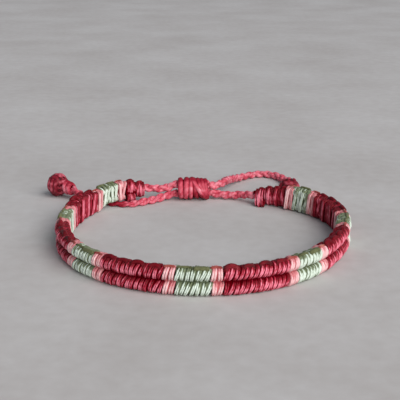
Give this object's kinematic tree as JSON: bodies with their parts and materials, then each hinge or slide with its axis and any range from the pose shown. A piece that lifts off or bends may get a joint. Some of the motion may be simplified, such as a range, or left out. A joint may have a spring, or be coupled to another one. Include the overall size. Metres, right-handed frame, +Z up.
{
  "type": "macrame bracelet",
  "caption": "Knotted two-rib band in burgundy, pink and mint wraps, closed by two braided cords through a wrapped sliding knot, with a ball knot on each free end.",
  "frame": {"origin": "middle of the bracelet's own box in plan, on the surface that its lower rib rests on", "axes": "+Z up along the wrist's axis, -Y towards the front of the band, +Y towards the sliding knot, +X to the right seen from the front"},
  "size_m": [0.0702, 0.083, 0.0063],
  "materials": {
    "burgundy_thread": "waxed polyester thread, tight wraps, soft sheen",
    "pink_thread": "waxed polyester thread, tight wraps, soft sheen",
    "mint_thread": "waxed polyester thread, tight wraps, soft sheen",
    "rose_braid": "waxed thread braided into a round cord, soft sheen",
    "rose_knot": "waxed thread wound and knotted, soft sheen"
  },
  "bodies": {
    "root": {"burgundy_1": "burgundy_thread", "burgundy_2": "burgundy_thread", "burgundy_3": "burgundy_thread", "burgundy_4": "burgundy_thread", "burgundy_5": "burgundy_thread", "burgundy_6": "burgundy_thread", "burgundy_7": "burgundy_thread", "burgundy_8": "burgundy_thread", "pink_1": "pink_thread", "pink_2": "pink_thread", "pink_3": "pink_thread", "pink_4": "pink_thread", "pink_5": "pink_thread", "pink_6": "pink_thread", "pink_7": "pink_thread", "pink_8": "pink_thread", "pink_9": "pink_thread", "pink_10": "pink_thread", "pink_11": "pink_thread", "pink_12": "pink_thread", "pink_13": "pink_thread", "pink_14": "pink_thread", "mint_1": "mint_thread", "mint_2": "mint_thread", "mint_3": "mint_thread", "mint_4": "mint_thread", "mint_5": "mint_thread", "mint_6": "mint_thread", "mint_7": "mint_thread", "left_cord": "rose_braid", "right_cord": "rose_braid", "left_tail": "rose_braid", "right_tail": "rose_braid", "sliding_knot": "rose_knot", "left_stopper": "rose_knot", "left_ball": "rose_knot", "right_stopper": "rose_knot", "right_ball": "rose_knot"}
  },
  "joints": []
}
